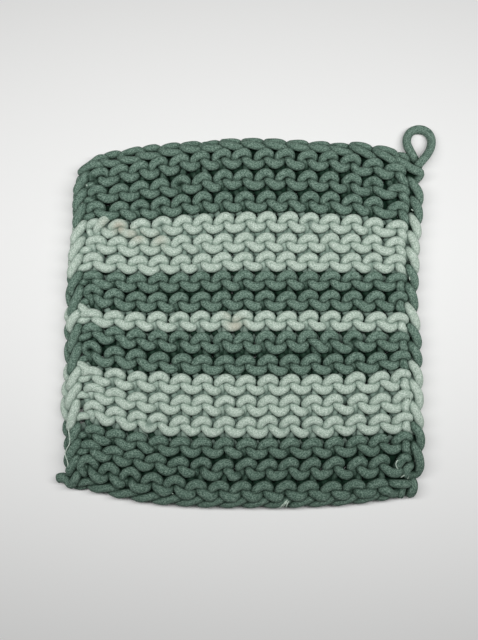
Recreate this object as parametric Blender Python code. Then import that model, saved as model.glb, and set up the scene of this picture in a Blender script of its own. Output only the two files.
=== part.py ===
# A square pot holder, hand-knitted in garter stitch from thick cotton cord, lying flat.
# Metres, +Z up. X runs across the ridges' length, Y from the cast-on edge up to the bind-off
# edge, and the origin is on the surface it lies on, under the middle of the whole outline.
import math
from collections import namedtuple

import bmesh
import bpy
from mathutils import Vector

MM = 0.001

CORD = 5.0 * MM  # thickness of the cord in the loop and the tails
THICK = 11.4 * MM  # from the surface to the top of a ridge
FRONT_VALLEY = 3.0 * MM  # how deep the front drops between two ridges
BACK_VALLEY = 2.8 * MM  # how deep the back rises between two ridges
RIM_HEIGHT = 5.4 * MM  # height of the outermost line of the edge
RIM_ROUND = 5.0 * MM  # how far in from the outline the edge is rounded

DARK = "green_cord"
LIGHT = "sage_cord"
COLOURS = {DARK: (0.115, 0.190, 0.140, 1.0), LIGHT: (0.450, 0.560, 0.470, 1.0)}
ROUGHNESS = 0.95

# One row for each front ridge, from the bind-off edge down to the cast-on edge, in millimetres:
# height of the ridge at the middle, how much higher (or lower) it lies at the outermost column
# on the left, a third of the way in, and at the outermost column on the right, and how far
# the knit reaches to each side there.
Ridge = namedtuple("Ridge", "cord middle left left_inner right left_edge right_edge")
RIDGES = (
    Ridge(DARK, 103.5, -11.5, -3.5, -9.0, -93.0, 89.5),  # bind-off edge
    Ridge(DARK, 92.5, -11.5, -5.0, -9.0, -102.5, 98.5),
    Ridge(DARK, 80.0, -9.5, -4.5, -8.5, -105.0, 101.0),
    Ridge(DARK, 67.5, -6.0, -4.0, -6.0, -105.0, 101.0),
    Ridge(LIGHT, 55.0, -4.0, -3.0, -5.5, -104.5, 99.5),
    Ridge(LIGHT, 42.5, -1.5, -1.5, -2.0, -105.5, 98.0),
    Ridge(LIGHT, 31.0, -0.5, -2.0, -1.5, -106.5, 97.5),
    Ridge(DARK, 20.0, 0.0, -1.5, -1.0, -107.0, 97.0),
    Ridge(DARK, 8.5, 3.5, -1.0, 0.0, -107.5, 96.0),
    Ridge(LIGHT, -3.0, 1.0, -1.0, -1.0, -108.0, 96.5),
    Ridge(DARK, -15.0, 4.5, 0.0, 0.0, -108.0, 97.5),
    Ridge(DARK, -29.0, 7.5, 2.0, 2.5, -107.5, 97.5),
    Ridge(LIGHT, -40.0, 5.5, 1.5, 3.0, -107.5, 97.5),
    Ridge(LIGHT, -51.5, 7.0, 1.0, 2.0, -108.0, 97.5),
    Ridge(LIGHT, -63.0, 9.0, 1.5, 2.0, -109.0, 96.5),
    Ridge(DARK, -75.0, 8.0, 1.5, 3.0, -107.0, 97.0),
    Ridge(DARK, -86.5, 11.0, 3.0, 2.0, -105.5, 96.0),
    Ridge(DARK, -98.5, 14.0, 4.5, 2.0, -105.5, 84.0),
    Ridge(DARK, -111.0, 9.5, 2.0, 7.5, -97.0, 74.0),  # cast-on edge
)
MIDDLE_COLUMN = -5.0 * MM
OUTER_COLUMN = 90.0 * MM  # the outermost columns of stitches, left and right of the origin
INNER_COLUMN = 53.0 * MM
MOST_BOW = 1.06  # past this share of the way to the outermost column the lines bow no more

RIDGE_STEPS = 4  # cross lines for each ridge
COLUMN_STEPS = 16
RIM_STEPS = 3  # lines within the rounded edge

# Routes of the cord's free ends, as (x, y, height of its middle) in millimetres.
LOOP_ROUTE = (
    (96.0, 91.4, 5.4),
    (94.4, 96.2, 5.0),
    (93.1, 101.2, 3.7),
    (94.5, 106.0, 2.8),
    (97.3, 108.5, 2.6),
    (100.8, 109.4, 2.55),
    (104.4, 108.5, 2.6),
    (107.0, 105.8, 2.7),
    (107.9, 101.2, 3.5),
    (106.4, 95.6, 4.6),
    (103.2, 90.8, 5.2),
    (100.4, 87.6, 5.4),
)
CAST_ON_TAIL_ROUTE = (
    (86.4, -97.6, 5.4),
    (89.6, -97.4, 5.2),
    (92.0, -99.6, 4.2),
    (91.0, -102.6, 3.2),
    (87.6, -104.0, 2.6),
    (84.2, -103.8, 2.6),
)
BIND_IN_TAIL_ROUTE = (
    (-102.0, -96.2, 5.2),
    (-105.4, -96.0, 4.2),
    (-109.0, -95.4, 3.2),
)
ROUTE_STEP = 1.6 * MM  # distance between two points of a cord's line
CORD_SIDES = 3  # bevel resolution: ten sides round


def clear_scene():
    for thing in list(bpy.data.objects):
        bpy.data.objects.remove(thing, do_unlink=True)


def make_collection(name):
    collection = bpy.data.collections.new(name)
    bpy.context.scene.collection.children.link(collection)
    return collection


def make_cord_material(name):
    material = bpy.data.materials.new(name)
    material.use_nodes = True
    shader = material.node_tree.nodes["Principled BSDF"]
    shader.inputs["Base Color"].default_value = COLOURS[name]
    shader.inputs["Roughness"].default_value = ROUGHNESS
    shader.inputs["Metallic"].default_value = 0.0
    return material


def along_ridges(column, place):
    """The value of a column of RIDGES at a place counted in ridges, in metres."""
    below = min(int(place), len(RIDGES) - 2)
    first = getattr(RIDGES[below], column)
    second = getattr(RIDGES[below + 1], column)
    return MM * (first + (second - first) * (place - below))


def side_at(column, place):
    """The x of the left or right side. It turns the four corners in a quarter of an ellipse."""
    last = len(RIDGES) - 1
    if place < 1.0:
        return along_ridges(column, math.sin(0.5 * math.pi * place))
    if place > last - 1.0:
        return along_ridges(column, last - math.sin(0.5 * math.pi * (last - place)))
    return along_ridges(column, place)


def height_at(place, x):
    """Where a line across the knit lies at x: it bows up or down towards both sides."""
    middle = along_ridges("middle", place)
    if x > MIDDLE_COLUMN:
        share = (x - MIDDLE_COLUMN) / (OUTER_COLUMN - MIDDLE_COLUMN)
        return middle + along_ridges("right", place) * min(share, MOST_BOW) ** 3
    left = along_ridges("left", place)
    inner = along_ridges("left_inner", place)
    share = min((x - MIDDLE_COLUMN) / (-OUTER_COLUMN - MIDDLE_COLUMN), MOST_BOW)
    knee = (INNER_COLUMN + MIDDLE_COLUMN) / (OUTER_COLUMN + MIDDLE_COLUMN)
    cubic = (left * knee**2 - inner) / (knee**2 - knee**3)
    return middle + (left - cubic) * share**2 + cubic * share**3


def cross_lines():
    """Places of the lines across the knit, counted in ridges, closer together at both rims."""
    last = len(RIDGES) - 1
    rim = [0.5 * (1.0 - math.cos(0.5 * math.pi * i / RIM_STEPS)) for i in range(RIM_STEPS)]
    count = (last - 1) * RIDGE_STEPS
    inside = [0.5 + i / RIDGE_STEPS for i in range(count + 1)]
    return rim + inside + [last - place for place in reversed(rim)]


def column_lines(left, right):
    """The x of each line along the knit between its two sides, closer together at both rims."""
    rim = [RIM_ROUND * (1.0 - math.cos(0.5 * math.pi * i / RIM_STEPS)) for i in range(RIM_STEPS)]
    width = right - left - 2.0 * RIM_ROUND
    inside = [left + RIM_ROUND + width * i / COLUMN_STEPS for i in range(COLUMN_STEPS + 1)]
    return [left + step for step in rim] + inside + [right - step for step in reversed(rim)]


def rim_share(distance):
    """From 0 on the outline to 1 where the rounded edge ends, along a quarter of an ellipse."""
    share = min(distance / RIM_ROUND, 1.0)
    return math.sqrt(max(0.0, 1.0 - (1.0 - share) ** 2))


def front_height(place, inward):
    """Height of the front: a crest on each ridge, a valley between two, down to the rim."""
    wave = 0.5 - 0.5 * math.cos(2.0 * math.pi * place)
    last = len(RIDGES) - 1
    if place < 0.5 or place > last - 0.5:
        wave = 0.5
    full = THICK - FRONT_VALLEY * wave
    return RIM_HEIGHT + (full - RIM_HEIGHT) * inward


def back_height(place, inward):
    """Height of the back: flat bands to lie on, half a ridge away from the front's crests."""
    turn = abs(place - round(place))
    full = 0.0 if turn > 0.2 else BACK_VALLEY * (1.0 - turn / 0.2)
    return RIM_HEIGHT + (full - RIM_HEIGHT) * inward


def shape_face(mesh, places, columns, height):
    """Moves the points of a grid of unit size to their places on one face of the knit."""
    across = len(columns(0.0)) - 1
    down = len(places) - 1
    for point in mesh.verts:
        step_x = round((point.co.x + 0.5) * across)
        step_y = round((0.5 - point.co.y) * down)
        place = places[step_y]
        line = columns(place)
        x = line[step_x]
        y = height_at(place, x)
        from_side = min(x - line[0], line[-1] - x)
        from_top = along_ridges("middle", 0.0) - along_ridges("middle", place)
        from_bottom = along_ridges("middle", place) - along_ridges("middle", len(RIDGES) - 1)
        inward = rim_share(min(from_side, from_top, from_bottom))
        point.co = Vector((x, y, height(place, inward)))


def make_grid(places, columns, height):
    grid = bmesh.new()
    bmesh.ops.create_grid(
        grid, x_segments=len(columns(0.0)) - 1, y_segments=len(places) - 1, size=0.5
    )
    shape_face(grid, places, columns, height)
    return grid


def make_knitted_panel(collection, materials):
    """The one-piece knit: a front and a back face over one outline, joined round the rim."""
    places = cross_lines()

    def columns(place):
        return column_lines(side_at("left_edge", place), side_at("right_edge", place))

    front = make_grid(places, columns, front_height)
    back = make_grid(places, columns, back_height)
    bmesh.ops.reverse_faces(back, faces=back.faces)
    half = bpy.data.meshes.new("back")
    back.to_mesh(half)
    back.free()
    front.from_mesh(half)
    bpy.data.meshes.remove(half)
    bmesh.ops.remove_doubles(front, verts=front.verts, dist=0.01 * MM)
    bmesh.ops.recalc_face_normals(front, faces=front.faces)
    for face in front.faces:
        face.material_index = colour_of(face.calc_center_median())
        face.smooth = True
    mesh = bpy.data.meshes.new("knitted_panel")
    front.to_mesh(mesh)
    front.free()
    for name in (DARK, LIGHT):
        mesh.materials.append(materials[name])
    panel = bpy.data.objects.new("knitted_panel", mesh)
    collection.objects.link(panel)
    return panel


def colour_of(centre):
    """The number of the material at this point: that of the nearest ridge."""
    heights = [height_at(place, centre.x) for place in range(len(RIDGES))]
    gaps = [abs(height - centre.y) for height in heights]
    nearest = RIDGES[gaps.index(min(gaps))]
    return (DARK, LIGHT).index(nearest.cord)


def curve_through(route):
    """Evenly spaced points on a smooth curve through a route's own points."""
    knots = [Vector(point) * MM for point in route]
    ends = [2.0 * knots[0] - knots[1], *knots, 2.0 * knots[-1] - knots[-2]]
    points = []
    for before, start, end, after in zip(ends, ends[1:], ends[2:], ends[3:]):
        steps = max(1, round((end - start).length / ROUTE_STEP))
        for step in range(steps):
            t = step / steps
            points.append(
                0.5
                * (
                    2.0 * start
                    + (end - before) * t
                    + (2.0 * before - 5.0 * start + 4.0 * end - after) * t**2
                    + (3.0 * start - before - 3.0 * end + after) * t**3
                )
            )
    return [*points, knots[-1]]


def make_cord(name, route, collection, material):
    """A round cord along a route, with flat ends."""
    points = curve_through(route)
    curve = bpy.data.curves.new(name, "CURVE")
    curve.dimensions = "3D"
    curve.bevel_depth = 0.5 * CORD
    curve.bevel_resolution = CORD_SIDES
    curve.use_fill_caps = True
    spline = curve.splines.new("POLY")
    spline.points.add(len(points) - 1)
    for target, point in zip(spline.points, points):
        target.co = (*point, 1.0)
    curve.materials.append(material)
    cord = bpy.data.objects.new(name, curve)
    collection.objects.link(cord)
    return cord


def main():
    clear_scene()
    collection = make_collection("pot_holder")
    materials = {name: make_cord_material(name) for name in COLOURS}
    make_knitted_panel(collection, materials)
    make_cord("hanging_loop", LOOP_ROUTE, collection, materials[DARK])
    make_cord("cast_on_tail", CAST_ON_TAIL_ROUTE, collection, materials[DARK])
    make_cord("bind_in_tail", BIND_IN_TAIL_ROUTE, collection, materials[DARK])


main()
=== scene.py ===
import math
from collections import namedtuple

import bpy
import numpy as np
from mathutils import Matrix, Vector
from mathutils.kdtree import KDTree


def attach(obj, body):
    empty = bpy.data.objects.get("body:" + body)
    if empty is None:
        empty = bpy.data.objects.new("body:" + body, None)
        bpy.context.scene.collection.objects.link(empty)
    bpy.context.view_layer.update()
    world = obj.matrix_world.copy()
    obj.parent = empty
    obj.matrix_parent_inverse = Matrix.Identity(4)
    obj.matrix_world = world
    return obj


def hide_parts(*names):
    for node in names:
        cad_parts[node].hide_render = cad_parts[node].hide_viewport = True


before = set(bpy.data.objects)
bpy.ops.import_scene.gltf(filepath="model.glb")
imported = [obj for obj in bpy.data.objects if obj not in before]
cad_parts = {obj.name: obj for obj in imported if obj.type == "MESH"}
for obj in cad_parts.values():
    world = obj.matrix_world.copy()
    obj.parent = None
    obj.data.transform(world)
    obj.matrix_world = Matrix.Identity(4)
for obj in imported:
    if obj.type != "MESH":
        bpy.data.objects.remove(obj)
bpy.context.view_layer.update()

mm = 0.001

Ridge = namedtuple("Ridge", "cord middle left leftInner right leftEdge rightEdge")
green = "green_cord"
sage = "sage_cord"

# One row for each ridge of the front, from the bind-off edge down to the cast-on edge: height of
# the ridge at the middle, how much higher or lower it lies at the outermost column on the left,
# a third of the way in, and at the outermost column on the right, and how far the knit reaches.
ridgeTable = (
    Ridge(green, 103.5, -11.5, -3.5, -9.0, -94.5, 90.0),  # bind-off edge
    Ridge(green, 93.0, -12.5, -5.2, -10.3, -102.6, 97.7),
    Ridge(green, 80.0, -9.9, -5.2, -9.0, -104.2, 100.5),
    Ridge(green, 67.2, -6.2, -4.2, -6.8, -104.5, 100.0),
    Ridge(sage, 54.6, -4.2, -3.2, -5.7, -104.0, 98.9),
    Ridge(sage, 42.1, -1.4, -1.6, -2.6, -105.0, 97.4),
    Ridge(sage, 30.9, -0.3, -2.0, -1.5, -106.0, 96.9),
    Ridge(green, 20.0, 0.0, -1.5, -1.0, -106.5, 96.4),
    Ridge(green, 8.5, 3.5, -1.0, 0.0, -107.0, 95.1),
    Ridge(sage, -3.0, 1.0, -1.0, -1.0, -107.5, 95.6),
    Ridge(green, -14.5, 4.5, 0.0, -0.4, -107.5, 96.6),
    Ridge(green, -28.4, 7.5, 2.2, 2.9, -107.0, 96.6),
    Ridge(sage, -39.4, 5.0, 1.4, 3.5, -107.0, 96.6),
    Ridge(sage, -50.8, 6.9, 1.2, 3.0, -107.5, 96.9),
    Ridge(sage, -62.6, 9.2, 1.8, 2.8, -108.5, 95.9),
    Ridge(green, -74.6, 7.8, 1.8, 4.4, -107.0, 97.0),
    Ridge(green, -85.5, 10.2, 2.4, 3.0, -105.5, 96.0),
    Ridge(green, -98.4, 14.2, 5.0, 3.0, -105.5, 95.5),
    Ridge(green, -111.0, 9.5, 2.0, 7.5, -105.0, 93.0),  # cast-on edge
)
lastRidge = len(ridgeTable) - 2  # the lowest ridge; the row after it is the cast-on edge

# Where the columns of stitches lie, as x, on some of the ridges. The two edge chains come on top.
columnNumbers = (1, 4, 8, 12, 15)
columnTable = {
    1: (-88.8, -54.2, -5.8, 45.8, 84.0),
    3: (-89.0, -53.0, -4.4, 46.0, 83.4),
    4: (-89.4, -52.2, -3.2, 45.9, 83.3),
    5: (-89.9, -52.4, -4.4, 45.0, 82.3),
    7: (-90.4, -53.5, -4.9, 44.8, 82.6),
    9: (-91.3, -53.8, -5.1, 45.1, 83.7),
    10: (-91.1, -53.8, -4.8, 43.4, 84.4),
    11: (-91.7, -52.3, -3.7, 46.2, 84.0),
    13: (-89.5, -52.6, -3.0, 46.1, 85.1),
    15: (-88.3, -52.3, -3.3, 45.4, 84.1),
    16: (-89.4, -52.8, -3.2, 46.2, 84.4),
    17: (-91.5, -55.6, -6.3, 43.6, 82.3),
}
stitches = 15

knit = {
    "cordRadius": 2.47,
    "middle": 6.2,  # height of the middle of the knit above the surface
    "depth": 3.6,  # how far the strands of the front and the back lie from the middle
    "top": 12.6,
    "ridgePitch": 12.0,
    "lowestLoops": 4.5,  # from here down, the loops of the lowest row are shorter
    "lowestShare": 0.45,
    "pulledHeads": 0.25,  # how much of their height the heads below the bind-off keep
    "unevenness": 0.55,
    "seed": 41,
    "sides": 12,
    "ringStep": 1.15,
    # The share of the radius along a stitch, and what becomes of it, fuller where it lies hidden.
    "share": (0.76, 0.95, 1.3),
    "fullerShare": (0.83, 0.95, 1.3),
}


def ridgeValue(column, place):
    values = [getattr(row, column) for row in ridgeTable]
    return np.interp(place, np.arange(len(values)), values)


def heightAt(place, x):
    # The lines across the knit bow up or down from the middle column, at the centre, towards the
    # outermost ones, which lie at outer on both sides. On the left, the bow also passes inner.
    outer, inner, centre, mostBow = 90.0, 53.0, -5.0, 1.06
    inside = np.clip(place, 0.0, len(ridgeTable) - 1.0)
    middle = ridgeValue("middle", inside) - (place - inside) * knit["ridgePitch"]
    rightShare = np.clip((x - centre) / (outer - centre), 0.0, mostBow)
    leftShare = np.clip((centre - x) / (outer + centre), 0.0, mostBow)
    knee = (inner + centre) / (outer + centre)
    left = ridgeValue("left", inside)
    cubic = (left * knee**2 - ridgeValue("leftInner", inside)) / (knee**2 - knee**3)
    bow = (left - cubic) * leftShare**2 + cubic * leftShare**3
    return middle + bow + ridgeValue("right", inside) * rightShare**3


def columnAt(column, place):
    # The x of a column, or of a place between two of them, at a place down the ridges.
    rows = sorted(columnTable)
    columnGap = columnNumbers[1] - columnNumbers[0]
    found = []
    for row in rows:
        xs = columnTable[row]
        if column < 1:
            found.append(xs[0] + (column - 1) * (xs[1] - xs[0]) / columnGap)
        elif column > stitches:
            found.append(xs[-1] + (column - stitches) * (xs[-1] - xs[-2]) / columnGap)
        else:
            found.append(np.interp(column, columnNumbers, xs))
    return float(np.interp(place, rows, found))


def onKnit(ridge, x, up, depth):
    # A point of the knit from its x, how far it lies above the crest of a ridge, and its depth.
    place = ridge - up / knit["ridgePitch"]
    return (x, float(heightAt(place, x)), knit["middle"] + knit["depth"] * depth)


# A stitch of the row whose small loops show as bows on the front, left to right, from the
# stitch's own column and the crest above it: x, up, depth (1 front, -1 back), share of the radius.
purlStitch = (
    (-4.4, -7.1, 1.00, 1.08),
    (-3.2, -6.7, 0.80, 0.98),
    (-2.4, -5.8, 0.30, 0.82),
    (-1.9, -4.4, -0.18, 0.80),
    (-1.5, -2.9, -0.40, 0.78),
    (-1.5, -1.0, -0.45, 0.78),
    (-2.4, 0.8, -0.30, 0.78),
    (-3.6, 2.0, -0.10, 0.82),
    (-4.0, 3.1, -0.20, 0.88),
    (-3.9, 4.4, -0.65, 0.95),
    (-3.3, 5.4, -0.90, 1.00),
    (-2.1, 6.0, -1.00, 1.03),
    (-0.5, 6.1, -1.05, 1.06),
    (1.2, 5.5, -1.03, 1.02),
    (2.8, 4.25, -0.97, 0.99),
    (3.8, 2.8, -0.78, 0.96),
    (4.0, 1.7, -0.40, 0.90),
    (2.9, 0.6, -0.15, 0.80),
    (1.6, -0.6, -0.38, 0.78),
    (1.1, -1.8, -0.30, 0.78),
    (1.4, -3.0, 0.15, 0.76),
    (2.3, -4.4, 0.75, 0.90),
    (3.7, -5.9, 1.00, 1.02),
    (5.0, -6.95, 1.03, 1.09),
)
purlTrough = (0.10, -7.5, 1.04, 1.12)
headToHead = 6.0  # how far above a front crest the next crest of the back lies

# The row before it shows its heads as arches on the front: the same stitch, turned about.
knitStitch = tuple((-x, up - headToHead, -depth, share) for x, up, depth, share in reversed(purlStitch))
knitTrough = (-purlTrough[0], purlTrough[1] - headToHead, -purlTrough[2], purlTrough[3])

# The chain stitches of both edges, from the outermost line of the knit: x inwards, up, depth.
leftChain = (
    (9.4, -14.4, -0.75, 0.92),
    (7.2, -15.6, -0.30, 0.86),
    (4.6, -15.8, 0.10, 0.86),
    (2.9, -14.6, 0.50, 0.92),
    (2.6, -12.6, 0.85, 1.00),
    (3.6, -9.4, 1.02, 1.05),
    (4.9, -6.0, 1.08, 1.06),
    (6.2, -2.8, 1.00, 1.05),
    (7.0, -0.5, 0.60, 0.98),
    (7.2, 1.4, 0.00, 0.88),
    (6.2, 2.8, -0.45, 0.88),
    (4.2, 3.0, -0.60, 0.94),
    (2.7, 1.2, -0.45, 1.00),
    (2.2, -2.0, -0.20, 1.00),
    (2.3, -5.4, -0.15, 1.00),
    (3.2, -8.4, -0.25, 0.94),
    (5.2, -9.6, 0.00, 0.88),
    (7.6, -8.9, 0.35, 0.92),
    (9.6, -8.1, 0.50, 0.96),
    (12.0, -7.4, 0.52, 0.96),
)
rightChain = (
    (-11.3, -7.0, 1.00, 1.04),
    (-10.0, -8.3, 0.80, 1.00),
    (-9.0, -9.8, 0.30, 0.90),
    (-7.2, -10.9, -0.10, 0.86),
    (-4.6, -10.6, -0.20, 0.86),
    (-2.8, -8.9, 0.10, 0.90),
    (-2.2, -6.6, 0.60, 0.96),
    (-2.3, -4.0, 0.90, 1.02),
    (-3.1, -0.7, 1.02, 1.05),
    (-4.4, 2.5, 1.02, 1.05),
    (-5.7, 5.0, 0.80, 0.98),
    (-6.5, 6.9, 0.20, 0.88),
    (-6.0, 8.2, -0.35, 0.86),
    (-4.2, 8.4, -0.60, 0.92),
    (-2.8, 6.0, -0.75, 1.00),
    (-2.6, 2.5, -0.90, 1.00),
    (-4.0, 0.0, -1.00, 1.00),
    (-7.0, -1.2, -1.03, 1.04),
)

# The bind-off: one chain stitch for each column, leaning left, from the crest of the top ridge:
# x, up, depth, share of the radius, and how much of the outer strand's rise a point takes.
bindOffLink = (
    (4.6, 2.2, -1.02, 1.05, 0.0),
    (3.4, 1.9, -0.80, 0.95, 0.0),
    (2.9, 1.6, -0.35, 0.84, 0.0),
    (2.4, 1.7, 0.05, 0.82, 0.0),
    (1.2, 1.8, 0.55, 0.86, 0.0),
    (-1.0, 2.3, 0.98, 0.90, 0.0),
    (-4.2, 3.1, 1.22, 0.92, 0.0),
    (-7.6, 3.9, 1.12, 0.92, 0.0),
    (-10.0, 4.6, 0.70, 0.90, 0.1),
    (-11.5, 5.8, 0.10, 0.88, 0.3),
    (-11.4, 7.6, -0.40, 0.88, 0.6),
    (-9.6, 8.9, -0.55, 0.92, 0.9),
    (-6.6, 9.4, -0.50, 0.95, 1.0),
    (-3.4, 9.4, -0.45, 0.95, 1.0),
    (-0.6, 8.7, -0.45, 0.94, 0.9),
    (1.6, 6.9, -0.50, 0.88, 0.6),
    (2.4, 4.8, -0.55, 0.82, 0.2),
    (1.6, 3.4, -0.68, 0.80, 0.0),
    (-0.4, 2.6, -0.80, 0.86, 0.0),
    (-2.4, 2.2, -0.94, 0.98, 0.0),
    (-4.2, 2.3, -1.02, 1.08, 0.0),
    (-6.3, 2.4, -1.04, 1.12, 0.0),
)
# The leftmost one turns down round the corner.
bindOffLast = (
    (4.6, 2.2, -1.02, 1.05),
    (3.4, 1.6, -0.75, 0.90),
    (2.9, 1.6, -0.20, 0.82),
    (2.6, 2.6, 0.30, 0.85),
    (1.6, 4.2, 0.75, 0.92),
    (-1.2, 5.0, 1.00, 0.96),
    (-4.2, 5.3, 1.00, 0.96),
    (-7.0, 4.9, 0.85, 0.94),
    (-9.0, 3.4, 0.50, 0.90),
    (-10.4, 1.6, 0.00, 0.88),
    (-11.2, 0.8, -0.40, 0.88),
    (-11.0, 2.4, -0.45, 0.92),
    (-9.2, 4.8, -0.30, 0.95),
    (-5.4, 8.3, -0.20, 0.95),
    (-1.0, 9.8, -0.15, 0.95),
    (2.4, 9.4, -0.25, 0.92),
    (3.4, 7.6, -0.50, 0.86),
    (2.6, 5.4, -0.80, 0.84),
)
# How far the outer strand rises over the edge, at some of the columns.
bindOffRise = ((1, 1.8), (3, 1.2), (4, 0.6), (6, -0.6), (8, -0.7), (12, -0.7), (14, 0.6), (15, 1.0))
# Towards the right corner the front legs lean more: how much, from which column, over how many
# columns, and about which x.
bindOffLean = {"most": 0.12, "from": 11, "over": 4.0, "about": -5.0}
# Its first stitch lies across the right corner, below the hanging loop: x, y, z, share.
bindOffFirst = (
    (94.6, 68.8, 4.6, 0.88),
    (95.2, 73.0, 4.6, 0.92),
    (96.8, 76.8, 5.0, 0.95),
    (99.4, 79.2, 6.6, 0.95),
    (99.4, 80.8, 8.6, 0.98),
    (97.0, 81.4, 9.5, 1.00),
    (94.0, 82.8, 9.6, 1.00),
    (89.9, 85.4, 9.5, 0.98),
    (85.8, 87.4, 9.0, 0.95),
    (83.0, 88.2, 7.8, 0.90),
    (82.0, 89.8, 5.6, 0.86),
    (84.4, 92.4, 4.4, 0.90),
    (88.0, 92.8, 4.0, 0.95),
    (91.8, 92.4, 3.6, 0.95),
    (93.4, 90.0, 3.0, 0.95),
    (91.6, 87.0, 2.7, 0.95),
)

# The rightmost stitch of the lowest row lies flat along the edge.
cornerStitch = (
    (89.4, -97.4, 6.2, 0.95),
    (88.0, -97.5, 7.5, 1.00),
    (86.0, -97.6, 8.3, 1.02),
    (82.6, -97.7, 8.5, 1.02),
    (79.4, -97.6, 8.1, 1.00),
    (77.0, -97.4, 7.0, 0.92),
    (75.8, -98.6, 5.0, 0.86),
    (76.0, -100.4, 3.2, 0.90),
)
cornerReturn = (
    (77.8, -103.2, 7.4, 0.96),
    (80.0, -102.8, 5.4, 0.92),
    (83.0, -101.0, 3.6, 0.92),
    (87.4, -97.4, 2.7, 0.95),
    (90.8, -92.4, 2.6, 1.00),
    (91.4, -88.4, 2.6, 1.00),
    (88.4, -86.4, 2.6, 1.00),
)

# How far the first and the last column lie from their even place, for some ridges.
edgeShift = {
    1: (-0.8, 0.0), 2: (-1.2, 2.4), 3: (-2.3, 2.1), 4: (0.0, 1.6), 5: (0.0, 0.2), 6: (-1.4, 0.1),
    7: (-1.2, 1.0), 8: (0.5, 0.5),
}
# How much wider their stitches are.
edgeWidth = {
    1: (1.15, 1.05), 2: (1.0, 1.12), 3: (1.0, 1.12), 4: (1.0, 1.12), 5: (1.12, 1.0), 6: (1.0, 1.12),
    7: (1.08, 1.12),
}
# The arches below the bind-off and the lowest ones lie flat and wide.
archWidth = {1: 1.05, lastRidge: 1.08}

# Single stitches that lie oddly: ridge, 0 arch or 1 bow, column: x, up, depth, turn, width.
oddStitches = {
    (4, 0, 1): (-1.7, 0.0, -0.15, 0.0, 0.9),
    (4, 1, 1): (1.8, -0.6, 0.0, 0.0, 0.95),
    (9, 0, 1): (-0.6, -1.2, 0.0, -0.12, 1.18),
    (12, 0, 1): (-0.4, -1.0, 0.0, -0.08, 1.12),
    (9, 0, 15): (-1.0, 0.0, 0.0, 0.0, 1.12),
    (10, 1, 1): (0.6, 1.0, 0.0, 0.1, 1.08),
    (10, 1, 2): (0.4, 0.8, 0.0, 0.1, 1.05),
    (10, 1, 11): (0.0, 0.9, 0.0, 0.15, 1.1),
    (16, 0, 15): (1.6, -0.4, 0.0, 0.35, 0.8),
    (16, 1, 15): (2.6, 0.0, 0.0, 0.0, 0.85),
}


# How unevenly all of them lie: the usual difference from an even stitch, and the most.
stitchSpread = {
    "x": (0.42, 0.9),
    "up": (0.50, 1.0),
    "depth": (0.05, 0.1),
    "turn": (0.11, 0.25),
    "width": (0.05, 0.1),
}


def stitchShifts():
    # How far each stitch lies from its even place.
    random = np.random.default_rng(knit["seed"])
    size = (lastRidge + 2, 2, stitches + 2)
    found = {}
    for name, (usual, most) in stitchSpread.items():
        found[name] = random.normal(0.0, usual * knit["unevenness"], size).clip(-most, most)
    found["width"] += 1.0
    return found


shifts = stitchShifts()


def stitchPlace(ridge, kind, column):
    # How one stitch differs from an even one: x, up, depth, turn, width.
    shift = edgeShift.get(ridge, (0.0, 0.0))
    wide = edgeWidth.get(ridge, (1.0, 1.0))
    place = [shifts[name][ridge, kind, column] for name in stitchSpread]
    if column in (1, stitches):
        place[0] += shift[column > 1]
        place[4] *= wide[column > 1]
    if kind == 0:
        place[4] *= archWidth.get(ridge, 1.0)
    own = oddStitches.get((ridge, kind, column), (0.0, 0.0, 0.0, 0.0, 1.0))
    return [*(a + b for a, b in zip(place[:4], own[:4])), place[4] * own[4]]


def castOnLimit(ridge, up):
    # The loops of the lowest row are shorter, where the cast-on edge holds them.
    above = up + knit["lowestLoops"]
    return up if ridge < lastRidge or above > 0.0 else knit["lowestShare"] * above - knit["lowestLoops"]


def rowOfStitches(ridge, kind):
    # One row of stitches, left to right, as points (x, y, z, share of the radius).
    stitch, trough = ((knitStitch, knitTrough), (purlStitch, purlTrough))[kind]
    head = -headToHead if kind == 0 else 0.0
    points = []
    columns = stitches if ridge < lastRidge else stitches - 1
    for column in range(1, columns + 1):
        dx, dUp, dDepth, turn, width = stitchPlace(ridge, kind, column)
        nodes = stitch
        if kind == 1 and column == 1:
            nodes = stitch[2:]
        if kind == 1 and column == stitches:
            nodes = stitch[:-2]
        for x, up, depth, share in nodes:
            up = castOnLimit(ridge, up)
            if ridge == 1 and kind == 1 and up > 0.0:
                up *= knit["pulledHeads"]
            turned = x * width - (up - head) * turn
            centre = columnAt(column, ridge - up / knit["ridgePitch"])
            risen = up + x * turn + dUp
            deep = depth + dDepth * abs(depth)
            points.append((*onKnit(ridge, centre + turned + dx, risen, deep), share))
        if column < columns:
            x, up, depth, share = trough
            up = castOnLimit(ridge, up)
            here, after = stitchPlace(ridge, kind, column), stitchPlace(ridge, kind, column + 1)
            both = [0.5 * (first + second) for first, second in zip(here, after)]
            centre = columnAt(column + 0.5, ridge - up / knit["ridgePitch"])
            points.append((*onKnit(ridge, centre + x + both[0], up + both[1], depth + both[2]), share))
    return points


# How far inwards the front strands of the left chain lie, for each ridge.
chainInwards = {
    7: 1.2, 8: 2.6, 9: 1.4, 10: 2.5, 11: 2.4, 12: 3.0, 13: 3.4, 14: 3.2, 15: 2.4, 16: 1.3, 17: 1.4,
}
chain = {
    "strandReach": 8.0,  # the points of its strands lie nearer to the edge than this
    "frontDepth": 0.8,  # from this depth on they move inwards all the way
    "lowestLength": 0.42,  # how much of its length the lowest chain stitch keeps
    "behind": 4,  # on this ridge, the start of the row lies behind the others
    "behindFrom": 7.5,  # x
    "behindUp": (-9.0, -7.0),
    "behindBy": 1.0,
}


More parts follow.
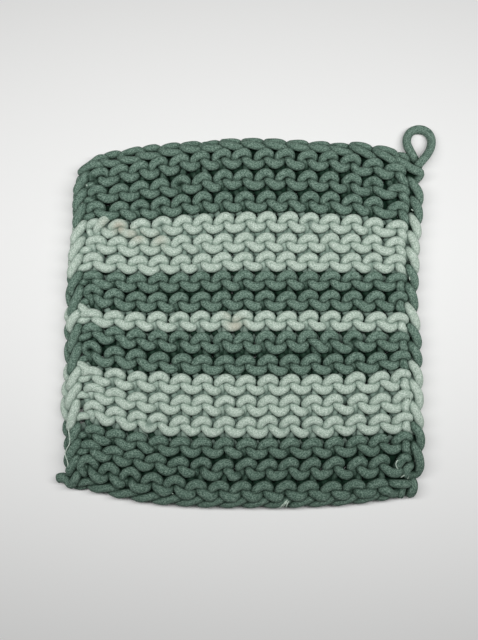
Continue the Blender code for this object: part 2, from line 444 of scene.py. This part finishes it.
def edgeOfRidge(ridge, link, column):
    # One chain stitch of an edge, as points (x, y, z, share of the radius).
    points = []
    lowest, highest = chain["behindUp"]
    for x, up, depth, share in link:
        if link is leftChain and x < chain["strandReach"]:
            x += chainInwards.get(ridge, 0.0) * min(1.0, max(0.0, depth / chain["frontDepth"]))
        behind = link is leftChain and ridge == chain["behind"] and x > chain["behindFrom"]
        if behind and lowest < up < highest:
            depth -= chain["behindBy"]
        if ridge == lastRidge and up < 0.0:
            up *= chain["lowestLength"]
        side = float(ridgeValue(column, ridge - up / knit["ridgePitch"]))
        points.append((*onKnit(ridge, side + x, up, depth), share))
    return points


def bindOffRoute():
    # From the right corner to the left one, along the top.
    points = list(bindOffFirst)
    for column in range(stitches, 1, -1):
        rise = np.interp(column, *zip(*bindOffRise))
        lean = bindOffLean["most"] * np.clip((column - bindOffLean["from"]) / bindOffLean["over"], 0.0, 1.0)
        centre = columnAt(column, 1)
        dx, dUp, _, turn, width = stitchPlace(0, 0, column)
        for x, up, depth, share, part in bindOffLink:
            up = up + part * rise + dUp - lean * (x - bindOffLean["about"]) * (depth > 0)
            points.append((*onKnit(1, centre + x * width + dx, up + x * turn, depth), share))
    for x, up, depth, share in bindOffLast:
        points.append((*onKnit(1, columnAt(1, 1) + x, up, depth), share))
    return points


def bandRoute(top, bottom):
    # The whole way of one length of cord, from its lowest ridge up: across and back again.
    route = list(cornerStitch) if bottom == lastRidge else []
    for ridge in range(bottom, top - 1, -1):
        route += reversed(rowOfStitches(ridge, 0))
        route += edgeOfRidge(ridge, leftChain, "leftEdge")
        route += rowOfStitches(ridge, 1)
        if ridge == lastRidge:
            route += cornerReturn
        elif ridge > 1:
            route += edgeOfRidge(ridge, rightChain, "rightEdge")
        else:
            route += edgeOfRidge(ridge, rightChain[:3], "rightEdge")
            route += bindOffRoute()
    return np.array(route)


castOn = {
    "turn": 24.8,  # length of one whole turn of the two strands round each other
    "phase": -1.3,
    "up": 3.8,  # from the lowest edge of the knit
    "sway": 1.4,
    "depth": -0.9,
    "rise": 2.3,
    "share": 0.95,
    "from": -92.0,
    "to": 74.5,
    "step": 1.6,
}
# Where its two strands begin at the left corner and end at the right one: x, y, z, share.
castOnStarts = (
    ((-99.0, -97.0, 4.4, 0.9), (-96.6, -97.6, 5.6, 0.95)),
    ((-99.5, -98.6, 2.6, 0.9), (-96.0, -99.6, 2.6, 0.95)),
)
castOnEnds = (
    ((76.6, -103.6, 4.4, 0.95), (78.8, -101.4, 4.0, 0.9)),
    ((77.2, -101.6, 3.2, 0.95), (79.6, -99.8, 3.0, 0.9)),
)


def castOnStrand(number):
    # One of the two strands that lie twisted round each other along the lower edge.
    points = list(castOnStarts[number])
    for x in np.arange(castOn["from"], castOn["to"], castOn["step"]):
        angle = 2.0 * math.pi * ((x - castOn["phase"]) / castOn["turn"] + 0.5 * number)
        y = float(heightAt(lastRidge + 1, x)) + castOn["up"] - castOn["sway"] * math.cos(angle)
        z = knit["middle"] + castOn["depth"] + castOn["rise"] * math.sin(angle)
        points.append((x, y, z, castOn["share"]))
    return np.array(points + list(castOnEnds[number]))


# Lengths that lie hidden behind the others, where the floor would show through: x, y, z, share.
hiddenStrands = (
    ("green_band_top", (
        (84.0, 81.2, 3.2, 0.9), (88.0, 80.0, 2.6, 1.0), (93.0, 77.8, 2.6, 1.0), (97.2, 75.6, 3.2, 0.9),
    )),
    ("green_band_top", (
        (85.0, 85.6, 3.2, 0.9), (89.5, 84.2, 2.7, 1.0), (94.0, 82.2, 2.7, 1.0), (98.0, 79.2, 3.4, 0.9),
    )),
    ("green_band_top", (
        (-6.0, 91.4, 2.8, 0.9), (12.0, 91.8, 2.8, 0.95), (30.0, 91.6, 2.8, 0.95),
        (48.0, 93.2, 2.8, 0.95), (62.0, 94.6, 2.8, 0.95), (76.0, 92.8, 2.8, 0.95), (81.0, 91.4, 2.8, 0.9),
    )),
    ("green_band_top", (
        (-30.0, 82.0, 2.8, 0.9), (-10.0, 82.6, 2.8, 0.95), (10.0, 82.7, 2.8, 0.95),
        (28.0, 82.4, 2.8, 0.95), (42.0, 81.0, 2.8, 0.95), (50.0, 80.2, 2.8, 0.9),
    )),
    ("green_band_top", ((79.4, 70.0, 2.8, 0.9), (79.1, 64.5, 2.7, 1.0), (78.9, 59.0, 2.8, 0.9))),
    ("green_band_bottom", (
        (80.6, -100.4, 3.0, 0.9), (79.9, -96.4, 2.6, 1.0), (79.6, -90.0, 2.6, 1.02), (79.6, -84.0, 2.8, 0.95),
    )),
    ("sage_band_upper", ((78.9, 56.0, 2.8, 0.9), (78.6, 52.8, 2.7, 1.0), (78.4, 48.0, 2.8, 0.9))),
)
# Short lengths that lie over the others: the twisted first loop of the fourth ridge, and two of
# the places where the sage cord begins at the left edge.
shownStrands = (
    ("sage_band_upper", (
        (-90.6, 44.0, 5.6, 0.9), (-90.0, 45.6, 8.0, 1.0), (-88.3, 48.2, 10.3, 1.06),
        (-85.6, 51.4, 10.6, 1.06), (-83.0, 54.0, 9.0, 1.02), (-81.8, 55.2, 6.0, 0.92),
    )),
    ("sage_line", (
        (-101.6, 5.4, 4.6, 0.8), (-100.2, 4.0, 6.6, 0.86), (-98.2, 2.2, 8.4, 0.92),
        (-95.8, 0.0, 9.6, 0.98), (-93.6, -2.4, 9.2, 0.95), (-92.2, -4.6, 7.0, 0.9),
    )),
    ("sage_band_lower", (
        (-101.2, -28.0, 4.6, 0.8), (-99.8, -29.4, 6.6, 0.88), (-97.2, -31.0, 8.6, 0.95),
        (-94.2, -33.2, 9.8, 1.0), (-91.6, -35.6, 9.2, 0.95), (-89.8, -37.6, 7.0, 0.9),
    )),
)


def smoothLine(points, step):
    # A smooth curve through the points, with even steps along it.
    points = np.asarray(points, float)
    ends = np.vstack([2 * points[0] - points[1], points, 2 * points[-1] - points[-2]])
    before, start, end, after = ends[:-3], ends[1:-2], ends[2:-1], ends[3:]
    square = 2 * before - 5 * start + 4 * end - after
    cube = 3 * start - before - 3 * end + after
    parts = 8  # of each span between two points
    curve = []
    for i in range(parts):
        t = i / parts
        curve.append(0.5 * (2 * start + (end - before) * t + square * t**2 + cube * t**3))
    curve = np.stack(curve, 1).reshape(-1, points.shape[1])
    curve = np.vstack([curve, points[-1]])
    along = np.concatenate([[0.0], np.cumsum(np.linalg.norm(np.diff(curve[:, :3], axis=0), axis=1))])
    count = max(3, int(round(along[-1] / step)) + 1)
    places = np.linspace(0.0, along[-1], count)
    return np.stack([np.interp(places, along, curve[:, i]) for i in range(curve.shape[1])], 1)


def cordOf(points):
    # The fine line of a strand, a little fuller where it lies hidden.
    line = smoothLine(points, knit["ringStep"])
    line[:, 3] = np.interp(line[:, 3], knit["share"], knit["fullerShare"])
    return line


settling = {
    "step": 2.0,  # along the cord
    "rounds": 60,
    "searchEvery": 8,  # rounds between two searches for the strands that lie near each other
    "pressedRadius": 2.1,  # how near two strands of soft cotton come where they press together
    "squeezedShares": (0.80, 0.92),  # where the cord lies hidden, it is squeezed more
    "squeeze": (0.86, 1.0),
    "ownReach": 2.6,  # a strand doesn't press on itself within so many radii
    "extraReach": 0.8,
    "tiny": 1e-9,  # keeps a distance from being nothing
    "push": 0.35,  # how much of an overlap, a bend and a stretch one round takes away
    "straighten": 0.12,
    "pull": 0.25,
    "holdShares": (0.80, 0.95),
    "hold": (0.03, 0.3),  # how firmly a strand keeps its place where it is hidden and where it shows
}


def nearPairs(here, strand, reach, apart):
    # The points of different strands, or of far places on one, that lie within reach.
    tree = KDTree(len(here))
    for i, point in enumerate(here):
        tree.insert(point, i)
    tree.balance()
    found = []
    for i, point in enumerate(here):
        for _, j, _ in tree.find_range(point, reach):
            if j > i and (strand[i] != strand[j] or j - i > apart):
                found.append((i, j))
    return np.array(found).T


def settleStrands(lines, firm):
    # Pushes strands apart where they lie in each other, as the tension of real cord does, and
    # holds each near its place and its length. The last ones, as many as firm says, keep still.
    counts = [len(line) for line in lines]
    rest = np.vstack(lines)
    here = rest[:, :3].copy()
    pressed = settling["pressedRadius"]
    radius = pressed * rest[:, 3] * np.interp(rest[:, 3], settling["squeezedShares"], settling["squeeze"])
    whole = knit["cordRadius"] * rest[:, 3]
    strand = np.repeat(np.arange(len(lines)), counts)
    order = np.arange(len(here))
    joined = strand[:-1] == strand[1:]
    first, second = order[:-1][joined], order[1:][joined]
    lengths = np.linalg.norm(here[second] - here[first], axis=1)
    inner = order[1:-1][joined[:-1] & joined[1:]]
    hold = np.interp(rest[:, 3], settling["holdShares"], settling["hold"])[:, None]
    hold[strand >= len(lines) - firm] = 1.0
    apart = int(math.ceil(settling["ownReach"] * pressed / settling["step"])) + 1
    reach = 2.0 * pressed + settling["extraReach"]
    for turn in range(settling["rounds"]):
        if turn % settling["searchEvery"] == 0:
            a, b = nearPairs(here, strand, reach, apart)
        gap = here[b] - here[a]
        distance = np.linalg.norm(gap, axis=1) + settling["tiny"]
        push = (radius[a] + radius[b] - distance).clip(0.0)
        move = gap / distance[:, None] * (settling["push"] * push)[:, None]
        shift = np.zeros_like(here)
        hits = np.zeros(len(here))
        np.add.at(shift, b, move)
        np.add.at(shift, a, -move)
        np.add.at(hits, b, push > 0)
        np.add.at(hits, a, push > 0)
        here += shift / np.maximum(1.0, 0.5 * hits)[:, None]  # less where many press at once
        bend = 0.5 * (here[inner - 1] + here[inner + 1]) - here[inner]
        here[inner] += settling["straighten"] * bend
        span = here[second] - here[first]
        now = np.linalg.norm(span, axis=1) + settling["tiny"]
        pull = span / now[:, None] * (settling["pull"] * (now - lengths))[:, None]
        np.add.at(here, first, pull)
        np.add.at(here, second, -pull)
        here += hold * (rest[:, :3] - here)
        here[:, 2] = here[:, 2].clip(whole, knit["top"] - whole)
    settled = np.column_stack([here, rest[:, 3]])
    return np.split(settled, np.cumsum(counts)[:-1])


# Painted shade in the cord's colour: where strands lie deep between others, where they press together, and
# towards the lower edge.
creviceShade = {
    "cell": 0.8,
    "blur": 4,  # cells to each side
    "margin": 10.0,  # left bare around the knit
    "from": 0.6,  # how far below the strands around it a place begins to darken, in mm
    "to": 4.2,
    "lowerFrom": -56.0,  # the rows below this y grow darker towards the lower edge
    "lowerReach": 34.0,
    "lowerShare": 0.2,
    "touchReach": 1.0,  # how far outside a strand's surface another one is looked for
    "touchSlack": 0.25,  # how near it may come before the place darkens
    "touchFade": 1.5,
    "touchShare": 0.78,
    "middleStep": 5,  # every so many-th point of the strands is enough to find their middles
}


def pointsOf(piece):
    return np.array([vertex.co for vertex in piece.data.vertices]) / mm


def movedPoints(piece, out):
    # The points of a piece, moved out along their normals by so many mm.
    count = len(piece.data.vertices)
    points, normals = np.empty(3 * count), np.empty(3 * count)
    piece.data.vertices.foreach_get("co", points)
    piece.data.vertex_normals.foreach_get("vector", normals)
    return (points / mm + normals * out).reshape(-1, 3)


def writeShare(piece, name, share):
    attribute = piece.data.attributes.new(name, "FLOAT", "POINT")
    attribute.data.foreach_set("value", share.astype(np.float32))


def creviceMap(pieces):
    # The heights of the strands' upper and lower sides around each place, taken over a few mm.
    points = np.vstack([pointsOf(piece) for piece in pieces])
    low = points[:, :2].min(axis=0) - creviceShade["margin"]
    size = points[:, :2].max(axis=0) + creviceShade["margin"] - low
    cells = np.ceil(size / creviceShade["cell"]).astype(int) + 1
    at = ((points[:, :2] - low) / creviceShade["cell"]).astype(int)
    nothing = -99.0
    reach = creviceShade["blur"]
    found = []
    for sign, bare in ((1.0, 0.0), (-1.0, -knit["top"])):
        height = np.full(cells, nothing)
        np.maximum.at(height, (at[:, 0], at[:, 1]), sign * points[:, 2])
        spread = height.copy()
        for dx in (-1, 0, 1):
            for dy in (-1, 0, 1):
                spread = np.maximum(spread, np.roll(height, (dx, dy), (0, 1)))
        height = np.where(spread == nothing, bare, spread)
        total = np.zeros_like(height)
        for dx in range(-reach, reach + 1):
            for dy in range(-reach, reach + 1):
                total += np.roll(height, (dx, dy), (0, 1))
        found.append(total / (2 * reach + 1) ** 2)
    return low, found


def strandTree(pieces):
    # The middles of all strands, to find how near the next strand is.
    step = creviceShade["middleStep"]
    middles = np.vstack([movedPoints(piece, -knit["cordRadius"])[::step] for piece in pieces])
    tree = KDTree(len(middles))
    for number, middle in enumerate(middles):
        tree.insert(middle, number)
    tree.balance()
    return tree


def touchOf(piece, tree):
    # From 0 in the open to 1 where another strand presses against this one.
    own = knit["cordRadius"] + creviceShade["touchReach"] - creviceShade["touchSlack"]
    near = np.array([tree.find(point)[2] for point in movedPoints(piece, creviceShade["touchReach"])])
    return ((own - near) / creviceShade["touchFade"]).clip(0.0, 1.0)


def shadeCrevices(piece, low, heights, tree):
    # Painted shade: the cord's colour darkens where strands lie deep between others, where they press against
    # each other, and towards the lower edge.
    points = pointsOf(piece)
    at = ((points[:, :2] - low) / creviceShade["cell"]).astype(int)
    over = heights[0][at[:, 0], at[:, 1]] - points[:, 2]
    under = heights[1][at[:, 0], at[:, 1]] + points[:, 2]
    depth = np.minimum(over, under) - creviceShade["from"]
    share = (depth / (creviceShade["to"] - creviceShade["from"])).clip(0.0, 1.0)
    share = share * share * (3.0 - 2.0 * share)
    if piece.name != "loose_fibres":
        # Painted shade: the rows below lowerFrom darken towards the lower edge.
        lower = ((creviceShade["lowerFrom"] - points[:, 1]) / creviceShade["lowerReach"]).clip(0.0, 1.0)
        share += (1.0 - share) * creviceShade["lowerShare"] * lower
        share += (1.0 - share) * creviceShade["touchShare"] * touchOf(piece, tree)
    writeShare(piece, "creviceShade", share)


# Faint brownish marks on the sage cord: x, y, reach, strength.
stains = (
    (-76.0, 47.5, 3.4, 0.75), (-68.9, 43.4, 3.6, 0.40), (-65.0, 41.6, 3.2, 0.45), (-52.7, 40.2, 4.0, 0.35),
    (-8.8, -9.7, 5.0, 0.55), (-13.5, -3.5, 3.2, 0.25), (-84.5, 49.5, 3.0, 0.25),
)


def markStains(piece):
    points = pointsOf(piece)
    share = np.zeros(len(points))
    for x, y, reach, strength in stains:
        away = ((points[:, 0] - x) ** 2 + (points[:, 1] - y) ** 2) / reach**2
        share = np.maximum(share, strength * np.exp(-away))
    share *= points[:, 2] > knit["middle"]
    writeShare(piece, "stain", share)


tube = {
    "dome": 0.55,  # how far an end stands out, as a share of the radius there
    "fleckShift": 731.0,  # so that the flecks of two strands don't lie alike
}


def ringAxes(spine):
    # The directions along a strand, and two across it that don't twist on the way.
    along = np.gradient(spine, axis=0)
    along /= np.linalg.norm(along, axis=1)[:, None]
    normal = np.zeros_like(spine)
    side = np.cross(along[0], (0.0, 0.0, 1.0))
    if np.linalg.norm(side) < 0.1:  # the strand starts upright
        side = np.cross(along[0], (0.0, 1.0, 0.0))
    for i, direction in enumerate(along):
        side = side - direction * (side @ direction)
        side /= np.linalg.norm(side)
        normal[i] = side
    return along, normal, np.cross(along, normal)


def tubeMesh(name, lines, radius, sides):
    # Round strands along the lines, each with its far ends closed to a dome.
    vertices, faces, places = [], [], []
    start = 0
    angles = 2.0 * math.pi * np.arange(sides) / sides
    ringX, ringY = np.cos(angles), np.sin(angles)
    turn = np.arange(sides)[None, :]
    after = (turn + 1) % sides
    for number, line in enumerate(lines):
        spine = line[:, :3]
        along, normal, other = ringAxes(spine)
        length = np.concatenate([[0.0], np.cumsum(np.linalg.norm(np.diff(spine, axis=0), axis=1))])
        wide = radius * line[:, 3]
        rings = normal[:, None] * ringX[:, None] + other[:, None] * ringY[:, None]
        count = len(spine)
        vertices.append((spine[:, None] + wide[:, None, None] * rings).reshape(-1, 3))
        flat = np.empty((count, sides, 3))  # each point's place on the cord: along it and across
        flat[..., 0] = length[:, None] + tube["fleckShift"] * number
        flat[..., 1] = wide[:, None] * ringX
        flat[..., 2] = wide[:, None] * ringY
        places.append(flat.reshape(-1, 3))
        ring = np.arange(count - 1)[:, None] * sides + start
        upper = ring + sides
        faces.append(np.stack([ring + turn, ring + after, upper + after, upper + turn], -1).reshape(-1, 4))
        tips = []
        for end, direction in ((0, -1.0), (count - 1, 1.0)):
            tips.append(spine[end] + direction * tube["dome"] * wide[end] * along[end])
            places.append(np.array([[flat[end, 0, 0], 0.0, 0.0]]))
        vertices.append(np.array(tips))
        first, last = start + count * sides, start + count * sides + 1
        caps = [(start + (k + 1) % sides, start + k, first) for k in range(sides)]
        final = start + (count - 1) * sides
        caps += [(final + k, final + (k + 1) % sides, last) for k in range(sides)]
        faces.append(caps)
        start += count * sides + 2
    allFaces = [tuple(int(i) for i in face) for group in faces for face in group]
    mesh = bpy.data.meshes.new(name)
    mesh.from_pydata((np.vstack(vertices) * mm).tolist(), [], allFaces)
    mesh.update()
    attribute = mesh.attributes.new("alongCord", "FLOAT_VECTOR", "POINT")
    attribute.data.foreach_set("vector", np.vstack(places).astype(np.float32).ravel())
    mesh.shade_smooth()
    return mesh


# The loop of cord to hang it by: x, y, z.
hangingLoop = {
    "radius": 2.5,
    "length": 64.2,  # from where it leaves the corner to where it goes back in
    "route": (
        (99.6, 85.4, 3.2), (99.4, 88.2, 3.2), (97.6, 90.6, 4.0), (95.8, 93.4, 4.8), (94.4, 96.4, 4.8),
        (93.4, 100.0, 3.9), (93.6, 103.6, 3.0), (94.8, 106.6, 2.7), (97.4, 109.0, 2.6),
        (100.9, 109.9, 2.55), (104.5, 109.0, 2.6), (107.2, 106.5, 2.7), (108.3, 102.2, 3.2),
        (107.0, 97.2, 4.6), (104.6, 93.0, 6.2), (102.0, 89.8, 7.4), (99.8, 87.2, 7.6), (98.0, 85.0, 6.0),
    ),
}
# The two ends of the cord at the lower corners: x, y, z, share of the radius.
castOnTail = {
    "radius": 2.45,
    "route": (
        (88.2, -94.6, 4.0, 0.9), (89.6, -95.6, 5.8, 0.92), (90.2, -97.6, 7.2, 0.98),
        (90.0, -100.4, 7.2, 1.02), (89.3, -102.8, 5.8, 1.04), (88.9, -103.6, 3.6, 1.0),
        (87.9, -101.8, 2.5, 0.95), (86.0, -99.6, 2.9, 0.92), (84.4, -99.8, 5.0, 0.96),
        (83.6, -101.8, 6.3, 1.0), (83.3, -103.8, 4.8, 1.0), (83.0, -103.4, 2.9, 0.95),
        (82.2, -101.2, 2.5, 0.9),
    ),
}
bindInTail = {
    "radius": 2.5,
    "route": (
        (-109.0, -95.4, 3.2, 1.08), (-107.2, -94.9, 3.8, 1.12), (-105.0, -95.1, 4.6, 1.1),
        (-103.0, -96.4, 5.2, 1.05), (-101.7, -98.0, 5.8, 1.0), (-100.2, -98.0, 7.0, 1.0),
        (-98.6, -95.8, 8.6, 1.0), (-97.2, -93.2, 8.9, 1.0), (-96.0, -91.2, 7.4, 0.95),
        (-95.2, -89.8, 5.0, 0.9),
    ),
}
endSides = 16  # how many sides the loop and the two ends have

# Loose fibres that stand out of the cord: radius, then x, y, z of each point.
looseFibres = (
    (0.30, ((-101.6, -66.0, 11.4), (-101.5, -68.5, 12.4), (-100.7, -74.5, 12.6), (-102.6, -78.6, 12.2),
            (-103.3, -81.3, 11.6), (-101.6, -86.2, 11.8), (-102.8, -91.3, 10.2))),
    (0.34, ((81.4, -84.2, 10.8), (80.0, -85.2, 11.6), (79.6, -87.0, 11.6), (80.7, -89.2, 11.0),
            (82.2, -90.0, 9.6))),
    (0.34, ((82.6, -93.8, 10.0), (83.9, -92.9, 10.8), (85.4, -92.2, 11.2), (86.6, -93.0, 10.8),
            (86.4, -94.6, 9.8))),
    (0.42, ((19.6, -106.2, 9.6), (18.4, -107.3, 10.2), (17.0, -108.9, 9.6), (15.4, -110.8, 7.4))),
    (0.38, ((20.4, -106.8, 9.4), (19.7, -107.9, 9.9), (19.2, -109.2, 9.2), (19.1, -110.7, 7.0))),
    (0.32, ((19.4, -107.2, 9.8), (18.2, -108.5, 9.9), (17.2, -110.3, 8.0))),
    (0.28, ((86.2, -52.4, 10.6), (86.2, -50.4, 11.3), (87.8, -49.5, 11.7), (89.0, -50.8, 11.5),
            (88.2, -52.8, 11.2), (86.8, -52.4, 11.2))),
    (0.34, ((-44.6, -102.6, 8.6), (-43.6, -103.0, 9.0))),
    (0.34, ((-48.8, -104.0, 7.8), (-47.8, -104.4, 8.2))),
    (0.34, ((-96.2, 72.9, 10.4), (-95.4, 72.0, 10.8))),
    (0.30, ((-98.2, 62.0, 10.6), (-97.8, 61.2, 10.8))),
    (0.34, ((92.8, 58.2, 10.6), (93.8, 57.4, 10.6))),
    (0.32, ((90.4, 18.6, 10.8), (90.6, 16.6, 11.2))),
    (0.28, ((91.6, -23.8, 9.8), (91.8, -25.6, 11.0), (92.4, -27.4, 11.2))),
)
fibreStep = 0.5
fibreSides = 6


def addPiece(name, mesh, material):
    piece = bpy.data.objects.new(name, mesh)
    bpy.context.scene.collection.objects.link(piece)
    mesh.materials.append(material)
    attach(piece, "root")
    return piece


def cordLine(settings, step):
    # The line of the loop or of an end, at its full radius where the route gives no share.
    route = np.array([(*point[:3], point[3] if len(point) > 3 else 1.0) for point in settings["route"]])
    return smoothLine(route, step)


def addCord(name, settings, replaced):
    line = cordLine(settings, knit["ringStep"])
    mesh = tubeMesh(name, [line], settings["radius"], endSides)
    piece = addPiece(name, mesh, materials[green])
    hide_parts(replaced)
    return piece, (line[:, :3] * mm).tolist()


def fibreLines():
    lines = []
    for radius, points in looseFibres:
        line = smoothLine(points, fibreStep)
        lines.append(np.column_stack([line, np.full(len(line), radius)]))
    return lines


def hexColour(code):
    shares = [int(code[i:i + 2], 16) / 255.0 for i in (1, 3, 5)]
    linear = [s / 12.92 if s <= 0.04045 else ((s + 0.055) / 1.055) ** 2.4 for s in shares]
    return (*linear, 1.0)


def addNode(tree, kind, settings, inputs):
    # A node with its settings, and its inputs as values or as other nodes' outputs.
    node = tree.nodes.new(kind)
    for key, value in settings.items():
        setattr(node, key, value)
    for key, value in inputs.items():
        if isinstance(value, bpy.types.NodeSocket):
            tree.links.new(value, node.inputs[key])
        else:
            node.inputs[key].default_value = value
    return node


# deep is the colour of the painted shade in the crevices and where strands touch.
cordColours = {
    green: {"dark": "#3c5146", "main": "#5f766a", "pale": "#889e91", "deep": "#132a1e"},
    sage: {"dark": "#8a9d90", "main": "#adbdb0", "pale": "#ccd8ce", "deep": "#71857a", "stain": "#b3a896"},
}
cotton = {
    "roughness": 0.95,
    "specular": 0.1,
    "sheen": 0.08,
    "sheenRoughness": 0.5,
    "stretch": (0.8, 1.0, 1.0),  # of flecks and fibres, along the cord and across it
    "fleckScale": 1.9,  # to the mm
    "fleckRoughness": 0.6,
    "detail": 2.0,
    "fleckTones": (("dark", 0.34), ("main", 0.5), ("pale", 0.66)),  # where each stands on the ramp
    "fibreScale": 2.2,
    "fibreStrength": 0.5,
    "fibreHeight": 0.0003,  # in metres, as the board and the lamp
}


def mixedByAttribute(tree, name, colour, code):
    # The colour, going over to another one as an attribute of the mesh says.
    share = addNode(tree, "ShaderNodeAttribute", {"attribute_name": name}, {})
    # Sockets 0, 6 and 7 are the mix's factor and its two colours, and 2 is the colour it gives.
    mix = addNode(tree, "ShaderNodeMix", {"data_type": "RGBA"}, {
        0: share.outputs["Fac"], 6: colour, 7: hexColour(code)})
    return mix.outputs[2]


def cottonCord(name, colours):
    # Soft cotton cord, spun from dyed-in-the-fibre cotton: dull, with paler and darker flecks.
    material = bpy.data.materials.new(name)
    material.use_nodes = True
    tree = material.node_tree
    shader = tree.nodes["Principled BSDF"]
    shader.inputs["Roughness"].default_value = cotton["roughness"]
    shader.inputs["Specular IOR Level"].default_value = cotton["specular"]
    shader.inputs["Sheen Weight"].default_value = cotton["sheen"]
    shader.inputs["Sheen Roughness"].default_value = cotton["sheenRoughness"]
    shader.inputs["Sheen Tint"].default_value = hexColour(colours["pale"])
    along = addNode(tree, "ShaderNodeAttribute", {"attribute_name": "alongCord"}, {})
    stretched = addNode(tree, "ShaderNodeMapping", {}, {
        "Vector": along.outputs["Vector"], "Scale": cotton["stretch"]})
    fleck = addNode(tree, "ShaderNodeTexNoise", {}, {
        "Vector": stretched.outputs["Vector"], "Scale": cotton["fleckScale"],
        "Detail": cotton["detail"], "Roughness": cotton["fleckRoughness"]})
    ramp = addNode(tree, "ShaderNodeValToRGB", {}, {"Fac": fleck.outputs["Fac"]})
    tones = ramp.color_ramp.elements
    (dark, darkPlace), (main, mainPlace), (pale, palePlace) = cotton["fleckTones"]
    tones[0].position, tones[0].color = darkPlace, hexColour(colours[dark])
    tones[1].position, tones[1].color = palePlace, hexColour(colours[pale])
    tones.new(mainPlace).color = hexColour(colours[main])
    colour = ramp.outputs["Color"]
    if "stain" in colours:
        colour = mixedByAttribute(tree, "stain", colour, colours["stain"])
    # Painted shade: mixes towards the deep colour in crevices, where strands touch, and towards the lower
    # edge.
    colour = mixedByAttribute(tree, "creviceShade", colour, colours["deep"])
    tree.links.new(colour, shader.inputs["Base Color"])
    fibre = addNode(tree, "ShaderNodeTexNoise", {}, {
        "Vector": stretched.outputs["Vector"], "Scale": cotton["fibreScale"], "Detail": cotton["detail"]})
    bump = addNode(tree, "ShaderNodeBump", {}, {
        "Height": fibre.outputs["Fac"],
        "Strength": cotton["fibreStrength"], "Distance": cotton["fibreHeight"]})
    tree.links.new(bump.outputs["Normal"], shader.inputs["Normal"])
    return material


camera = {
    "target": (-7.1, -5.8, 6.0),
    "elevation": 84.0,
    "distance": 345.6,
    "lens": 33.75,
    "sensor": 36.0,  # on the picture's long side
}


def placeCamera():
    tilt = math.radians(camera["elevation"])
    target = Vector(camera["target"]) * mm
    back = Vector((0.0, -math.cos(tilt), math.sin(tilt)))
    data = bpy.data.cameras.new("camera")
    data.lens = camera["lens"]
    data.sensor_width = camera["sensor"]
    data.clip_start = 0.01
    eye = bpy.data.objects.new("camera", data)
    bpy.context.scene.collection.objects.link(eye)
    eye.location = target + back * camera["distance"] * mm
    eye.rotation_mode = "QUATERNION"
    eye.rotation_quaternion = (-back).to_track_quat("-Z", "Y")
    bpy.context.scene.camera = eye


board = {
    "size": 3.0,
    "colour": "#e8e8e7",
    "roughness": 0.9,
}


def makeFloor():
    bpy.ops.object.select_all(action="DESELECT")
    bpy.ops.mesh.primitive_plane_add(size=board["size"], location=(0.0, 0.0, 0.0))
    floor = bpy.context.object
    floor.name = "floor"
    paper = bpy.data.materials.new("matt white board")
    paper.use_nodes = True
    shader = paper.node_tree.nodes["Principled BSDF"]
    shader.inputs["Base Color"].default_value = hexColour(board["colour"])
    shader.inputs["Roughness"].default_value = board["roughness"]
    floor.data.materials.append(paper)


softBox = {
    "place": (0.025, 0.032, 0.41),
    "aim": (0.025, 0.070, 0.0),
    "size": (0.95, 0.09),  # along x and y
    "power": 3.1,
}
ambient = {"colour": "#f2f4f5", "strength": 0.035}


def makeLight():
    data = bpy.data.lights.new("strip soft box", "AREA")
    data.shape = "RECTANGLE"
    data.size, data.size_y = softBox["size"]
    data.energy = softBox["power"]
    lamp = bpy.data.objects.new("strip soft box", data)
    bpy.context.scene.collection.objects.link(lamp)
    lamp.location = softBox["place"]
    back = (Vector(softBox["place"]) - Vector(softBox["aim"])).normalized()
    long = Vector((0.0, 1.0, 0.0)).cross(back).normalized()  # the long side stays along x
    lamp.rotation_mode = "QUATERNION"
    lamp.rotation_quaternion = Matrix((long, back.cross(long), back)).transposed().to_quaternion()
    world = bpy.data.worlds.new("studio")
    bpy.context.scene.world = world
    world.use_nodes = True
    world.node_tree.nodes["Background"].inputs["Color"].default_value = hexColour(ambient["colour"])
    world.node_tree.nodes["Background"].inputs["Strength"].default_value = ambient["strength"]


bpy.context.scene.view_settings.view_transform = "Standard"
placeCamera()
makeFloor()
makeLight()
print("camera, floor and light are in place")

materials = {
    green: cottonCord("green cotton cord", cordColours[green]),
    sage: cottonCord("sage cotton cord", cordColours[sage]),
}

loop, loopPath = addCord("hanging_loop_cord", hangingLoop, "hanging_loop")
addCord("cast_on_tail_end", castOnTail, "cast_on_tail")
addCord("bind_in_tail_end", bindInTail, "bind_in_tail")
print("hanging loop and cord ends made")

bands = (
    # name, top ridge, bottom ridge
    ("green_band_top", 1, 3),
    ("sage_band_upper", 4, 6),
    ("green_band_upper", 7, 8),
    ("sage_line", 9, 9),
    ("green_band_lower", 10, 11),
    ("sage_band_lower", 12, 14),
    ("green_band_bottom", 15, lastRidge),
)
routes = [bandRoute(top, bottom) for _, top, bottom in bands]
routes += [castOnStrand(0), castOnStrand(1)]
lines = [smoothLine(route, settling["step"]) for route in routes]
endLines = [cordLine(end, settling["step"]) for end in (castOnTail, bindInTail, hangingLoop)]
print("cord laid out:", sum(len(line) for line in lines) * settling["step"] * mm, "m")
lines = settleStrands(lines + endLines, firm=len(endLines))[:len(lines)]
print("strands settled against each other")

for number, (name, top, _) in enumerate(bands):
    cord = ridgeTable[top].cord
    strands = [cordOf(lines[number])]
    strands += [cordOf(points) for band, points in hiddenStrands + shownStrands if band == name]
    if name == "green_band_bottom":
        strands += [cordOf(line) for line in lines[len(bands):]]  # the cast-on edge
    mesh = tubeMesh(name, strands, knit["cordRadius"], knit["sides"])
    piece = addPiece(name, mesh, materials[cord])
    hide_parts("knitted_panel")
    print(name, len(mesh.polygons), "faces")

fibreMesh = tubeMesh("loose_fibres", fibreLines(), 1.0, fibreSides)
fibres = addPiece("loose_fibres", fibreMesh, materials[sage])
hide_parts("knitted_panel")
print("loose fibres laid on")

meshes = [piece for piece in bpy.context.scene.objects if piece.type == "MESH"]
strandPieces = [piece for piece in meshes if "alongCord" in piece.data.attributes]
low, heights = creviceMap(strandPieces)
tree = strandTree([piece for piece in strandPieces if piece.name != "loose_fibres"])
for piece in strandPieces:
    shadeCrevices(piece, low, heights, tree)
    markStains(piece)
print("crevices shaded")
